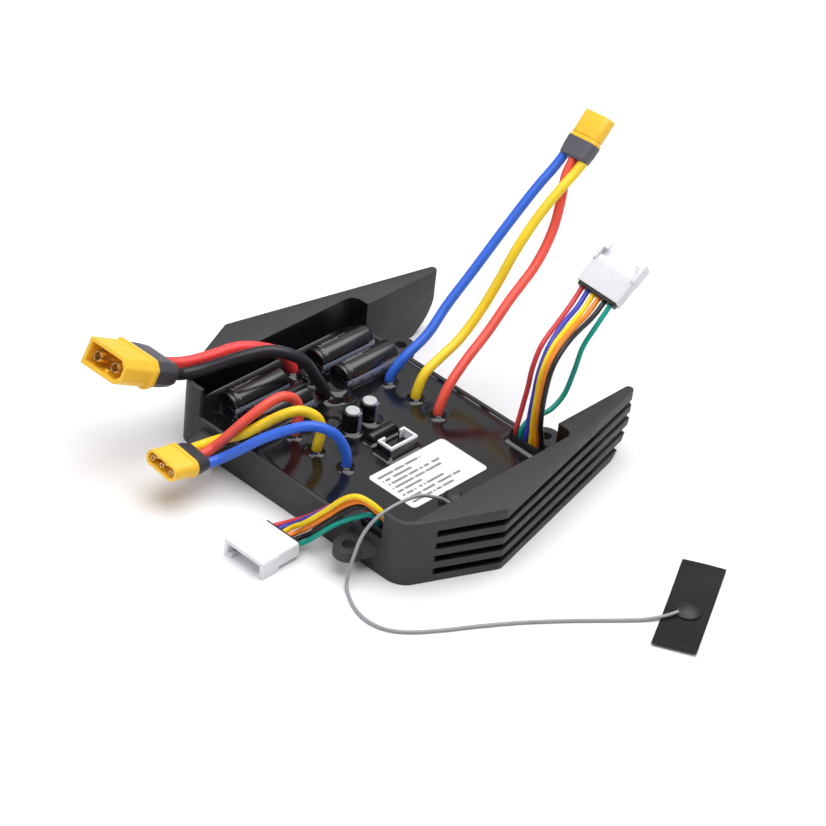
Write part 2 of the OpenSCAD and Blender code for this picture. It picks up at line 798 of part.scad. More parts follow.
housing();
thermal_pads();
power_transistors();
circuit_board();
control_chips();
receiver_module();
potting();
bulk_capacitor(0);  // bulk_capacitor_1
bulk_capacitor(1);  // bulk_capacitor_2
bulk_capacitor(2);  // bulk_capacitor_3
bulk_capacitor(3);  // bulk_capacitor_4
small_capacitor(0);  // small_capacitor_1
small_capacitor(1);  // small_capacitor_2
sleeved_fuse();
header_shell();
header_rim();
header_pins();
rating_label();
antenna_grommet();
antenna_cable();
antenna_patch();
antenna_dome();
battery_wire(battery_red_route, red);  // battery_wire_red
battery_wire(battery_black_route, black);  // battery_wire_black
battery_plug_shell();
battery_plug_pins();
battery_plug_sheath();
motor_wire(front_motor_yellow_route, yellow);  // front_motor_wire_yellow
motor_wire(front_motor_red_route, red);  // front_motor_wire_red
motor_wire(front_motor_blue_route, blue);  // front_motor_wire_blue
front_motor_plug_shell();
front_motor_plug_pins();
front_motor_plug_sheath();
motor_wire(rear_motor_blue_route, blue);  // rear_motor_wire_blue
motor_wire(rear_motor_red_route, red);  // rear_motor_wire_red
motor_wire(rear_motor_yellow_route, yellow);  // rear_motor_wire_yellow
rear_motor_plug_shell();
rear_motor_plug_sockets();
rear_motor_plug_sheath();
front_sensor_wire(0);  // front_sensor_wire_red
front_sensor_wire(1);  // front_sensor_wire_blue
front_sensor_wire(2);  // front_sensor_wire_yellow
front_sensor_wire(3);  // front_sensor_wire_orange
front_sensor_wire(4);  // front_sensor_wire_black
front_sensor_wire(5);  // front_sensor_wire_green
sensor_collar(collar_places[0]);  // front_sensor_collar
front_sensor_frame() sensor_shell();  // front_sensor_shell
front_sensor_frame() sensor_contacts();  // front_sensor_contacts
front_sensor_frame() sensor_seal();  // front_sensor_seal
rear_sensor_wire(0);  // rear_sensor_wire_red
rear_sensor_wire(1);  // rear_sensor_wire_blue
rear_sensor_wire(2);  // rear_sensor_wire_yellow
rear_sensor_wire(3);  // rear_sensor_wire_orange
rear_sensor_wire(4);  // rear_sensor_wire_black
rear_sensor_wire(5);  // rear_sensor_wire_green
sensor_collar(collar_places[1]);  // rear_sensor_collar
rear_sensor_frame() mirror([0, 0, 1]) sensor_shell();  // rear_sensor_shell
rear_sensor_frame() sensor_contacts();  // rear_sensor_contacts
rear_sensor_frame() sensor_seal();  // rear_sensor_seal
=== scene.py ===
import math

import bmesh
import bpy
import numpy as np
from mathutils import Matrix, Vector


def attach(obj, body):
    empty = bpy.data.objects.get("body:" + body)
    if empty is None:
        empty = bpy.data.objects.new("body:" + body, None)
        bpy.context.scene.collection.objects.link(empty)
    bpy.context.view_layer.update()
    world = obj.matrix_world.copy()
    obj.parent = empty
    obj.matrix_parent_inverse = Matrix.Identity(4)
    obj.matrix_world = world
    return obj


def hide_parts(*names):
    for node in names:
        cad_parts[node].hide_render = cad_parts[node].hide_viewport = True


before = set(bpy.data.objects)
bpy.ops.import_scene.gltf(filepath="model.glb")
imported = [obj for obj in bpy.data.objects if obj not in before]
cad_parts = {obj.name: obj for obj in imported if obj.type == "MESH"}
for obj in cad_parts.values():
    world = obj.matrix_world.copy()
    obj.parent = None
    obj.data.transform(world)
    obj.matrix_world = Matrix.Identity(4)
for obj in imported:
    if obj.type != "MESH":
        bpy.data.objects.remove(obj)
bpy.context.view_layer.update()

MM = 0.001
PI = math.pi

# ------------------------------------------------------------------ camera

CAMERA_PLACE = Vector((589.7, -678.6, 655.4)) * MM
CAMERA_AZIMUTH = math.radians(-49.26)
CAMERA_ELEVATION = math.radians(35.40)
CAMERA_ROLL = math.radians(6.27)


def make_camera():
    """A long lens, looking down on the tray from its front right corner."""
    data = bpy.data.cameras.new("camera")
    data.lens = 143.12
    data.sensor_width = 36
    data.clip_start = 0.05
    data.clip_end = 20
    camera = bpy.data.objects.new("camera", data)
    bpy.context.scene.collection.objects.link(camera)
    back = Vector((math.cos(CAMERA_ELEVATION) * math.cos(CAMERA_AZIMUTH),
                   math.cos(CAMERA_ELEVATION) * math.sin(CAMERA_AZIMUTH),
                   math.sin(CAMERA_ELEVATION)))
    level = Vector((0, 0, 1)).cross(back).normalized()
    upright = back.cross(level)
    right = math.cos(CAMERA_ROLL) * level + math.sin(CAMERA_ROLL) * upright
    up = back.cross(right)
    axes = Matrix((right, up, back)).transposed().to_4x4()
    camera.matrix_world = Matrix.Translation(CAMERA_PLACE) @ axes
    bpy.context.scene.camera = camera


# ------------------------------------------------------------------ housing sizes, mm

TRAY_HALF_W = 52.1
TRAY_FRONT = -51.1
TRAY_REAR = 28.2
TRAY_RIM_Z = 24.2
POTTING_Z = 12.0
SLOT_LOW = 2.7
SLOT_PITCH = 5.1
SLOT_SHARE = 0.51
SLOT_FRONT = -42

# ------------------------------------------------------------------ materials

def tone(red, green, blue):
    """A display colour, 0 to 255, as linear light."""
    def linear(value):
        value /= 255
        return value / 12.92 if value <= 0.04045 else ((value + 0.055) / 1.055) ** 2.4
    return linear(red), linear(green), linear(blue)


class Material:
    """A principled material with short calls for the nodes that feed it."""

    def __init__(self, name, rough=0.5, metallic=0.0, specular=0.5, subsurface=0.0):
        self.data = bpy.data.materials.new(name)
        self.data.use_nodes = True
        self.tree = self.data.node_tree
        self.shader = self.tree.nodes["Principled BSDF"]
        for socket, value in (("Roughness", rough), ("Metallic", metallic),
                              ("Specular IOR Level", specular),
                              ("Subsurface Weight", subsurface)):
            self.shader.inputs[socket].default_value = value
        if subsurface:
            self.shader.inputs["Subsurface Radius"].default_value = (0.6, 0.5, 0.5)
            self.shader.inputs["Subsurface Scale"].default_value = 1.5 * MM
        self.place = self.tree.nodes.new("ShaderNodeTexCoord").outputs["Object"]

    def node(self, kind, **values):
        """A new shader node with these settings."""
        made = self.tree.nodes.new(kind)
        for key, value in values.items():
            setattr(made, key, value)
        return made

    def link(self, out, socket):
        self.tree.links.new(out, socket)

    def math(self, operation, a, b=0.0):
        """One sum on two values, each a number or a node's output."""
        made = self.node("ShaderNodeMath", operation=operation)
        for socket, value in zip(made.inputs, (a, b)):
            if isinstance(value, (int, float)):
                socket.default_value = value
            else:
                self.link(value, socket)
        return made.outputs[0]

    def axes(self):
        """The point's x, y and z in the piece's own frame, in metres."""
        split = self.node("ShaderNodeSeparateXYZ")
        self.link(self.place, split.inputs[0])
        return split.outputs

    def noise(self, size_mm, detail=3.0):
        """Noise with features of about this size."""
        made = self.node("ShaderNodeTexNoise")
        made.inputs["Scale"].default_value = 1 / (size_mm * MM)
        made.inputs["Detail"].default_value = detail
        self.link(self.place, made.inputs["Vector"])
        return made.outputs["Fac"]

    def spread(self, value, low, high):
        """Stretches the middle of a noise over the range from low to high."""
        made = self.node("ShaderNodeMapRange")
        made.inputs["From Min"].default_value = 0.3
        made.inputs["From Max"].default_value = 0.7
        made.inputs["To Min"].default_value = low
        made.inputs["To Max"].default_value = high
        self.link(value, made.inputs["Value"])
        return made.outputs[0]

    def mix(self, factor, first, second):
        """A colour between two, each a colour or another mix."""
        made = self.node("ShaderNodeMix", data_type="RGBA")
        self.link(factor, made.inputs[0])
        for socket, value in ((made.inputs[6], first), (made.inputs[7], second)):
            if isinstance(value, tuple):
                socket.default_value = (*value, 1)
            else:
                self.link(value, socket)
        return made.outputs[2]

    def colour(self, out):
        self.link(out, self.shader.inputs["Base Color"])

    def vary(self, base, factor, size_mm=6.0):
        """The base colour, drifting between itself and a darker or lighter one."""
        other = tuple(min(1.0, c * factor) for c in base)
        self.colour(self.mix(self.spread(self.noise(size_mm), 0, 1), base, other))

    def rough(self, low, high, size_mm=1.5):
        """Roughness that drifts between two values."""
        self.link(self.spread(self.noise(size_mm), low, high),
                  self.shader.inputs["Roughness"])

    def bump(self, height, depth_mm):
        """Adds relief of this depth to the relief that is already there."""
        made = self.node("ShaderNodeBump")
        made.inputs["Distance"].default_value = depth_mm * MM
        made.inputs["Strength"].default_value = 1.0
        self.link(height, made.inputs["Height"])
        before = self.shader.inputs["Normal"].links
        if before:
            self.link(before[0].from_socket, made.inputs["Normal"])
        self.link(made.outputs[0], self.shader.inputs["Normal"])


def moulded(name, colour, rough=0.35, grain=0.35, depth=0.012, factor=0.9, **shader):
    """Moulded or extruded plastic: faint mottling, uneven gloss and fine grain."""
    made = Material(name, rough, **shader)
    made.vary(colour, factor)
    made.rough(rough - 0.05, rough + 0.07)
    made.bump(made.noise(grain), depth)
    return made.data


def silicone(name, colour):
    """Soft wire jacket: satin, with slow mottling and fine grain."""
    rough = 0.38
    made = Material(name, rough, specular=0.45, subsurface=0.12)
    made.vary(colour, 0.86, 9)
    made.rough(rough - 0.06, rough + 0.08, 2)
    made.bump(made.noise(1.1, 2), 0.03)
    made.bump(made.noise(0.25), 0.006)
    return made.data


def box_mask(made, values):
    """Is 1 where every (test, value, limit in mm) of these holds."""
    mask = 1.0
    for test, value, limit in values:
        mask = made.math("MULTIPLY", mask, made.math(test, value, limit * MM))
    return mask


def cast_coating():
    """Matt powder coat with fine orange peel; painted shade makes it almost black in the slots
    and inside the tray.
    """
    made = Material("cast_coating", 0.55, specular=0.4)
    x, y, z = made.axes()
    aside = made.math("ABSOLUTE", x)
    level = made.math("DIVIDE", made.math("SUBTRACT", z, SLOT_LOW * MM), SLOT_PITCH * MM)
    level = made.math("SUBTRACT", level, made.math("FLOOR", level))
    open_part = made.math("LESS_THAN", level, SLOT_SHARE)
    in_slots = box_mask(made, (("LESS_THAN", z, SLOT_LOW + 3.51 * SLOT_PITCH),
                               ("GREATER_THAN", z, SLOT_LOW - 0.1),
                               ("GREATER_THAN", aside, TRAY_HALF_W + 0.1),
                               ("GREATER_THAN", y, SLOT_FRONT)))
    # painted shade: the open gaps between the fins are coloured near black, standing in for the
    # shade deep in the slots
    slot_shade_mask = made.math("MULTIPLY", open_part, in_slots)
    corner = made.math("SUBTRACT", aside, y)
    in_tray = box_mask(made, (("LESS_THAN", aside, TRAY_HALF_W),
                              ("GREATER_THAN", z, POTTING_Z - 0.5),
                              ("LESS_THAN", z, TRAY_RIM_Z),
                              ("GREATER_THAN", y, TRAY_FRONT),
                              ("LESS_THAN", y, TRAY_REAR),
                              ("LESS_THAN", corner, TRAY_HALF_W - TRAY_FRONT - 2.2)))
    paint = made.mix(made.spread(made.noise(14), 0, 1), tone(56, 56, 58), tone(51, 51, 53))
    # painted shade: inside the tray, above the resin, the coat is coloured near black for the
    # shade of the dark cavity
    paint = made.mix(in_tray, paint, tone(15, 14, 17))
    # painted shade: near black in the slot gaps
    made.colour(made.mix(slot_shade_mask, paint, tone(8, 8, 10)))
    gloss = made.math("SUBTRACT", made.spread(made.noise(3), 0.5, 0.62),
                      made.math("MULTIPLY", in_tray, 0.2))
    made.link(gloss, made.shader.inputs["Roughness"])
    made.bump(made.noise(0.7, 2), 0.012)
    made.bump(made.noise(0.16), 0.008)
    return made.data


def potting_gloss():
    """Cured epoxy: near black, wet looking, with slow ripples and dust specks."""
    made = Material("potting_gloss", 0.06, specular=0.6)
    specks = made.math("GREATER_THAN", made.noise(0.5, 1), 0.76)
    made.colour(made.mix(specks, tone(17, 16, 19), tone(60, 60, 66)))
    made.link(made.spread(made.noise(7), 0.1, 0.17), made.shader.inputs["Roughness"])
    made.bump(made.noise(11, 1), 0.03)
    return made.data


def metal(name, colour, rough):
    """Plated or bare metal with a fine grain."""
    made = Material(name, rough, metallic=1.0)
    made.vary(colour, 0.85, 2)
    grain = made.noise(0.4, 2)
    made.link(made.spread(grain, rough - 0.05, rough + 0.1),
              made.shader.inputs["Roughness"])
    made.bump(grain, 0.006)
    return made.data


def bars(made, along, across, row_pitch, rows, half_length, cell=0.9):
    """Rows of short dashes that stand for small print. Returns a mask."""
    row_at = made.math("ADD", made.math("DIVIDE", across, row_pitch * MM), rows / 2)
    row = made.math("FLOOR", row_at)
    level = made.math("SUBTRACT", row_at, row)
    in_row = made.math("MULTIPLY", made.math("GREATER_THAN", level, 0.3),
                       made.math("LESS_THAN", level, 0.75))
    inside = made.math("MULTIPLY", made.math("GREATER_THAN", row_at, 0.0),
                       made.math("LESS_THAN", row_at, float(rows)))
    place = made.math("DIVIDE", along, cell * MM)
    dash = made.math("SUBTRACT", place, made.math("FLOOR", place))
    drawn = made.math("GREATER_THAN", dash, 0.22)
    pick = made.node("ShaderNodeCombineXYZ")
    made.link(made.math("FLOOR", place), pick.inputs[0])
    made.link(row, pick.inputs[1])
    random = made.node("ShaderNodeTexWhiteNoise")
    made.link(pick.outputs[0], random.inputs["Vector"])
    gaps = made.math("GREATER_THAN", random.outputs["Value"], 0.16)
    length = made.node("ShaderNodeTexWhiteNoise", noise_dimensions="1D")
    made.link(row, length.inputs["W"])
    reach = made.math("MULTIPLY", made.math("ADD", length.outputs["Value"], 0.75),
                      half_length * MM * 0.95)
    start = made.math("ADD", along, half_length * MM)
    fits = made.math("MULTIPLY", made.math("LESS_THAN", start, reach),
                     made.math("GREATER_THAN", start, 0.0))
    mask = in_row
    for part in (inside, drawn, gaps, fits):
        mask = made.math("MULTIPLY", mask, part)
    return mask


def label_paper():
    """White label with rows of plain dashes."""
    made = Material("label_paper", 0.5, specular=0.3)
    x, y, _ = made.axes()
    print_mask = bars(made, y, x, 2.3, 8, 15.5, 0.72)
    paper = made.mix(made.spread(made.noise(5), 0, 1), (0.84, 0.84, 0.85),
                     (0.8, 0.8, 0.81))
    made.colour(made.mix(print_mask, paper, tone(70, 70, 74)))
    made.bump(made.noise(0.3), 0.01)
    return made.data


def capacitor_sleeve():
    """Shrink sleeve: black and glossy with a grey stripe and rows of dashes."""
    made = Material("capacitor_sleeve", 0.2, specular=0.75)
    x, y, z = made.axes()
    angle = made.math("ARCTAN2", y, x)
    out_squared = made.math("ADD", made.math("MULTIPLY", x, x), made.math("MULTIPLY", y, y))
    stripe = made.math("MULTIPLY", made.math("LESS_THAN", made.math("ABSOLUTE", angle), 0.42),
                       made.math("GREATER_THAN", out_squared, (4.45 * MM) ** 2))
    turn = made.math("MULTIPLY", made.math("ADD", angle, 2.02), 5 * MM)
    middle = made.math("SUBTRACT", z, 13.5 * MM)
    marks = bars(made, middle, turn, 0.85, 2, 10.5, 0.8)
    minus_at = made.math("DIVIDE", z, 5.2 * MM)
    minus = made.math("SUBTRACT", minus_at, made.math("FLOOR", minus_at))
    minus = made.math("MULTIPLY", made.math("LESS_THAN", minus, 0.36),
                      made.math("LESS_THAN", made.math("ABSOLUTE", angle), 0.1))
    sleeve = made.mix(made.spread(made.noise(4), 0, 1), tone(16, 16, 20),
                      tone(24, 24, 29))
    body = made.mix(stripe, sleeve, tone(150, 155, 173))
    printed = made.mix(made.math("MULTIPLY", marks, 0.75), body, tone(176, 178, 184))
    made.colour(made.mix(minus, printed, tone(90, 94, 110)))
    made.rough(0.19, 0.23, 2.5)
    made.bump(made.noise(3, 2), 0.006)
    return made.data


def small_sleeve():
    """Shrink sleeve of the small capacitors, with a grey stripe."""
    made = Material("small_sleeve", 0.2, specular=0.55)
    x, y, _ = made.axes()
    angle = made.math("ARCTAN2", y, x)
    stripe = made.math("LESS_THAN", made.math("ABSOLUTE", made.math("SUBTRACT", angle, 0.9)),
                       0.35)
    sleeve = made.mix(made.spread(made.noise(2), 0, 1), tone(14, 14, 17), tone(22, 22, 26))
    made.colour(made.mix(stripe, sleeve, tone(120, 123, 138)))
    made.bump(made.noise(1.4, 2), 0.012)
    return made.data


MATERIALS = {
    "housing_black": cast_coating(),
    "potting_black": potting_gloss(),
    "capacitor_sleeve": capacitor_sleeve(),
    "small_sleeve": small_sleeve(),
    "sleeve_black": moulded("sleeve_black", tone(20, 20, 23), 0.22),
    "can_aluminium": metal("can_aluminium", (0.9, 0.9, 0.91), 0.3),
    "header_black": moulded("header_black", tone(18, 18, 20), 0.22),
    "shell_white": moulded("shell_white", (0.80, 0.80, 0.83), 0.4, factor=0.96,
                           subsurface=0.25),
    "label_white": label_paper(),
    "rubber_black": moulded("rubber_black", tone(26, 26, 28), 0.45, 0.3),
    "coax_grey": moulded("coax_grey", tone(158, 158, 161), 0.4),
    "antenna_film": moulded("antenna_film", tone(20, 19, 21), 0.5, 0.5, 0.03, specular=0.25),
    "plug_yellow": moulded("plug_yellow", (1.0, 0.59, 0.045), 0.34, factor=0.97,
                           subsurface=0.15),
    "battery_sheath": moulded("battery_sheath", tone(74, 74, 80), 0.5, 0.25, 0.02),
    "front_motor_sheath": moulded("front_motor_sheath", tone(58, 58, 64), 0.5, 0.25, 0.02),
    "rear_motor_sheath": moulded("rear_motor_sheath", tone(92, 92, 100), 0.45, 0.25, 0.02),
    "contact_gold": metal("contact_gold", (1.0, 0.76, 0.42), 0.3),
    "tin_pins": metal("tin_pins", (0.72, 0.7, 0.66), 0.3),
    "chip_black": moulded("chip_black", tone(30, 30, 32), 0.5),
    "board_green": moulded("board_green", tone(14, 74, 46), 0.35),
    "board_blue": moulded("board_blue", tone(14, 44, 110), 0.35),
    "pad_grey": moulded("pad_grey", tone(150, 160, 166), 0.7),
    "battery_red": silicone("battery_red", (0.97, 0.06, 0.055)),
    "battery_black": silicone("battery_black", tone(36, 32, 40)),
    "motor_yellow": silicone("motor_yellow", (1.0, 0.7, 0.02)),
    "motor_red": silicone("motor_red", (0.9, 0.1, 0.065)),
    "motor_blue": silicone("motor_blue", (0.035, 0.15, 0.74)),
    "sensor_red": silicone("sensor_red", (0.7, 0.05, 0.055)),
    "sensor_blue": silicone("sensor_blue", (0.045, 0.055, 0.5)),
    "sensor_yellow": silicone("sensor_yellow", (1.0, 0.7, 0.005)),
    "sensor_orange": silicone("sensor_orange", (1.0, 0.27, 0.015)),
    "sensor_black": silicone("sensor_black", tone(30, 28, 32)),
    "sensor_green": silicone("sensor_green", (0.0, 0.37, 0.28)),
}

# ------------------------------------------------------------------ pieces


def add_piece(name, mesh, material, nodes=(), place=None, smooth=35):
    """Links a mesh as a shown piece that rides on the part."""
    obj = bpy.data.objects.new(name, mesh)
    bpy.context.scene.collection.objects.link(obj)
    mesh.materials.clear()
    mesh.materials.append(MATERIALS[material])
    mesh.polygons.foreach_set("use_smooth", [True] * len(mesh.polygons))
    mesh.set_sharp_from_angle(angle=math.radians(smooth))
    if place is not None:
        obj.matrix_world = place
    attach(obj, "root")
    if nodes:
        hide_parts(*nodes)
    return obj


def mesh_of(name, points_mm, faces):
    """A mesh from points in millimetres, with its faces turned outwards."""
    mesh = bpy.data.meshes.new(name)
    mesh.from_pydata([Vector(p) * MM for p in points_mm], [], faces)
    work = bmesh.new()
    work.from_mesh(mesh)
    bmesh.ops.recalc_face_normals(work, faces=work.faces)
    work.to_mesh(mesh)
    work.free()
    return mesh


class Shape:
    """Collects lofted solids into one mesh."""

    def __init__(self):
        self.points = []
        self.faces = []

    def loft(self, rings):
        """A closed solid through rings of equally many points."""
        first = len(self.points)
        count = len(rings[0])
        for ring in rings:
            self.points.extend(ring)
        for i in range(len(rings) - 1):
            for k in range(count):
                a = first + i * count + k
                b = first + i * count + (k + 1) % count
                self.faces.append((a, b, b + count, a + count))
        last = first + (len(rings) - 1) * count
        self.faces.append(tuple(range(first, first + count)))
        self.faces.append(tuple(range(last, last + count)))
        return self

    def revolve(self, profile, segments):
        """Turns a closed profile of (radius, height), whose ends are on the axis."""
        first = len(self.points)
        inner = profile[1:-1]
        self.points.append((0, 0, profile[0][1]))
        for radius, height in inner:
            for k in range(segments):
                angle = 2 * PI * k / segments
                self.points.append((radius * math.cos(angle), radius * math.sin(angle), height))
        self.points.append((0, 0, profile[-1][1]))
        last = len(self.points) - 1
        for k in range(segments):
            n = (k + 1) % segments
            self.faces.append((first, first + 1 + n, first + 1 + k))
            for i in range(len(inner) - 1):
                a = first + 1 + i * segments
                self.faces.append((a + k, a + n, a + segments + n, a + segments + k))
            a = first + 1 + (len(inner) - 1) * segments
            self.faces.append((a + k, a + n, last))
        return self

    def mesh(self, name):
        """The collected solids as a mesh."""
        return mesh_of(name, self.points, self.faces)


SHARP_EDGE = math.radians(28)


def refined(node, material, width_mm=0.15, segments=2):
    """A copy of a CAD node with its flats merged and its sharp edges rounded."""
    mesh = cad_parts[node].data.copy()
    mesh.name = node + "_body"
    work = bmesh.new()
    work.from_mesh(mesh)
    bmesh.ops.remove_doubles(work, verts=work.verts, dist=0.002 * MM)
    bmesh.ops.dissolve_limit(work, angle_limit=math.radians(0.6), use_dissolve_boundaries=False,
                             verts=work.verts, edges=work.edges, delimit={"NORMAL"})
    edges = [e for e in work.edges if e.is_manifold and e.calc_face_angle(0) > SHARP_EDGE]
    bmesh.ops.bevel(work, geom=edges, offset=width_mm * MM, offset_type="OFFSET",
                    segments=segments, profile=0.5, affect="EDGES", clamp_overlap=True)
    work.to_mesh(mesh)
    work.free()
    return add_piece(node + "_body", mesh, material, (node,))


# ------------------------------------------------------------------ leads

BATTERY_D = 4.2
MOTOR_D = 3.5
SENSOR_D = 1.8
COAX_D = 1.2

BATTERY_ROUTES = {
    "red": [
        (-43.5, -9, 12), (-43.5, -9.4, 15), (-44.7, -13.5, 21.5), (-46.4, -22.6, 27),
        (-49.8, -30.1, 28.4), (-53.1, -38.7, 27), (-56.1, -46.1, 26.2),
        (-58.6, -50.6, 26.2), (-60.7, -57.9, 28.6)],
    "black": [
        (-25, -10.3, 12), (-25.5, -11.2, 15.5), (-27.2, -14.2, 22), (-29.7, -18, 28.6),
        (-33.5, -23.6, 32.4), (-37.4, -28.8, 33.2), (-42.5, -36.6, 31),
        (-48.9, -46.1, 27), (-52.1, -52.5, 26.2), (-52.3, -57.9, 28.6)],
}
FRONT_MOTOR_ROUTES = {
    "yellow": [
        (-6, -34, 12), (-5.5, -33.8, 15.5), (-5.4, -32.8, 21), (-6.6, -34.5, 26.2),
        (-9.8, -38.8, 28.8), (-13.1, -43.2, 27.4), (-17.7, -47.2, 23), (-22, -51.8, 18.6),
        (-28, -55.8, 14.8), (-32, -60.2, 12.2), (-32.2, -66.4, 12.9)],
    "red": [
        (-17.1, -33.4, 12), (-16.7, -33.2, 15.5), (-16.8, -32, 21.5),
        (-17.9, -33.7, 26.6), (-19, -38.5, 29.2), (-20.2, -44.6, 28),
        (-22.2, -51.7, 23.6), (-24.9, -56.5, 18.2), (-27.6, -60.6, 13.4),
        (-27.9, -66.4, 12.5)],
    "blue": [
        (6.9, -32.8, 12), (6.9, -32.6, 15.5), (6.1, -33.2, 20), (3.6, -36, 25.7),
        (-0.5, -41.1, 28.8), (-4.7, -46.2, 28), (-11.2, -53.2, 23.6),
        (-17.6, -58.4, 17.2), (-22, -62, 13), (-23.6, -66.4, 12.1)],
}
REAR_MOTOR_ROUTES = {
    "blue": [
        (-18.5, 13.5, 12), (-18.4, 13.8, 15.5), (-17.2, 18.3, 21.4), (-16.7, 28.4, 27),
        (-18, 38.7, 34.3), (-18.1, 50.6, 43.6), (-18, 64.4, 55.2), (-17.6, 77.7, 66.2),
        (-17.1, 86, 72.3), (-16.9, 90, 75.8)],
    "yellow": [
        (-6, 13.5, 12), (-6, 13.7, 15.5), (-6.2, 17.2, 21.4), (-6.5, 25, 24.6),
        (-6.9, 34.5, 28.2), (-7.2, 44, 35.6), (-7.4, 52, 44.6), (-7.6, 59, 53.6),
        (-7.9, 69, 63), (-8.1, 79.5, 70.2), (-8.3, 86, 73.6), (-8.3, 90.4, 76.7)],
    "red": [
        (5.5, 12.5, 12), (5.5, 12.7, 15.5), (4.8, 17.2, 22), (3.2, 26.5, 27.8),
        (1.6, 38.4, 33.8), (-0.4, 50.6, 41), (-2.8, 64.6, 47.6), (-5, 74, 56),
        (-8, 80.4, 64.4), (-11.4, 85.6, 71.4), (-12.6, 90.2, 76.2)],
}
REAR_SENSOR_ROUTES = {
    "red": [
        (31.3, 23, 13.8), (31.3, 23.6, 18.5), (30.5, 26, 24), (30, 28.2, 31),
        (29.8, 29.6, 38.5), (29, 34, 45.4), (26.8, 44, 49.2), (24.6, 52.6, 51.8)],
    "blue": [
        (36, 23, 13.8), (35.9, 23.3, 18.5), (35.2, 24.6, 24), (34.8, 25.8, 31),
        (34.6, 27, 39.5), (33.5, 31.6, 47.2), (30.8, 41, 51), (27.4, 52.2, 51.8)],
    "yellow": [
        (38.4, 23, 13.8), (38.4, 23, 18.5), (38.1, 22.9, 24), (37.8, 23.6, 33),
        (37.3, 25.2, 42.5), (35.7, 31.4, 49.2), (33.2, 41, 51.4), (29.8, 52, 51.5)],
    "orange": [
        (40.8, 23, 13.8), (40.9, 22.8, 18.5), (40.7, 22, 25.5), (40.5, 22.4, 35),
        (40, 24.6, 44.8), (38.2, 31.2, 50.6), (35.6, 40.8, 52.2), (32.2, 51.6, 51.4)],
    "black": [
        (43.1, 23, 13.8), (43.2, 22.6, 18.5), (43.4, 20.6, 26.5), (43.2, 20.8, 37),
        (42.4, 24.2, 47.8), (39.8, 34.6, 52.6), (34.8, 51, 51.6)],
    "green": [
        (33.7, 23, 13.8), (33.8, 23.4, 18.5), (34.4, 27.2, 21.4), (35.4, 34.6, 21.6),
        (35.6, 41, 25.4), (35.6, 44.8, 33.7), (35.6, 47.6, 42), (35.7, 53.6, 48.6)],
}
FRONT_SENSOR_ROUTES = {
    "red": [
        (31.5, -47.7, 12.8), (31.5, -48, 17.4), (29.6, -50.2, 20.4), (26.6, -52.4, 20.2),
        (22.4, -55.4, 16.4), (16.4, -58.8, 10.4), (10.2, -61.2, 5.6)],
    "blue": [
        (33.8, -47.7, 12.8), (33.8, -48, 17.4), (31.8, -50.2, 22), (28.8, -52.6, 22.4),
        (24.6, -55.6, 18.6), (18.4, -59, 12), (11.8, -61.2, 5.8)],
    "yellow": [
        (43, -47.7, 12.8), (42.8, -48.2, 17.6), (39.6, -50.2, 22.2), (35.4, -52.6, 25.2),
        (32.1, -54.6, 25.9), (28.6, -56.8, 23.6), (24, -59.4, 17.6), (17.6, -61.8, 10),
        (13.6, -62.6, 6.4)],
    "orange": [
        (40.7, -47.7, 12.8), (40.5, -48.2, 17.6), (37.8, -50.4, 21.4), (34.8, -52, 23.4),
        (32, -53.6, 23.4), (28.4, -55.8, 20.6), (23.8, -58.8, 14.8), (18.6, -61.4, 8.4),
        (15.6, -62.4, 5.4)],
    "black": [
        (38.4, -47.7, 12.8), (38.3, -48.2, 17.4), (35.6, -50.6, 20.8),
        (32.6, -52.8, 21.4), (29.8, -54.9, 19.2), (26, -57.8, 14.8), (21.2, -60.8, 8.2),
        (17.6, -62.4, 4.6)],
    "green": [
        (36.1, -47.7, 12.8), (36, -48, 16.6), (34.6, -50.4, 18), (32.4, -52.8, 17),
        (29.6, -55.4, 15.2), (26, -58.6, 11.8), (21.8, -61.6, 6.4), (19.4, -63, 3.8)],
}
ANTENNA_ROUTE = [
    (45.2, -20.8, 13.6), (45.3, -22, 14.9), (44.4, -23.8, 16.3), (43.6, -25.6, 17.8),
    (42.9, -29.2, 20), (41.9, -34.7, 22.5), (41.8, -43, 24), (40.5, -52, 21.8),
    (39.2, -57.2, 16.2), (40.2, -61.8, 10), (40.8, -64.2, 4.1), (43, -66.6, 0.7),
    (50.8, -71, 0.6), (58, -72.5, 0.6), (64.6, -71, 0.6), (70.5, -66.2, 0.6),
    (76.5, -57.5, 0.6), (82.5, -47, 0.6), (90, -35, 0.6), (99.5, -22, 0.6),
    (109.5, -9.5, 0.6), (114.5, -3, 0.8), (118, 3, 1.3), (119.5, 7.5, 1.6)]

BATTERY_PIN_PITCH = 8.4
MOTOR_PIN_PITCH = 4.4
SENSOR_PITCH = 2.4
SENSOR_ORDER = ("red", "blue", "yellow", "orange", "black", "green")


def turned(place, x=0.0, z=0.0):
    """The frame that the CAD's translate() and rotate([x, 0, z]) give."""
    turn = Matrix.Rotation(math.radians(z), 4, "Z") @ Matrix.Rotation(math.radians(x), 4, "X")
    return Matrix.Translation(Vector(place) * MM) @ turn


def rolled(angle):
    """A turn about a plug's own length."""
    return Matrix.Rotation(math.radians(angle), 4, "Y")


REAR_SENSOR_PLACE = (29.5, 58.8, 54.5)
REAR_SENSOR_TILT = 35.9
REAR_SENSOR_ROLL = 9.7
FRONT_SENSOR_PLACE = (12.8, -66.2, 4.1)
ANTENNA_PLACE = (119.4, 13.2, 0)
ANTENNA_TURN = -62
BATTERY_FRAME = turned((-56.5, -57.9, 28.6), x=27.8, z=180)
FRONT_MOTOR_FRAME = turned((-27.9, -66.4, 12.5), x=13.8, z=180) @ rolled(-5.7)
REAR_MOTOR_FRAME = turned((-12.6, 90.2, 76.2), x=43.5, z=3) @ rolled(-6.6)


ROUTE_STEPS = 6


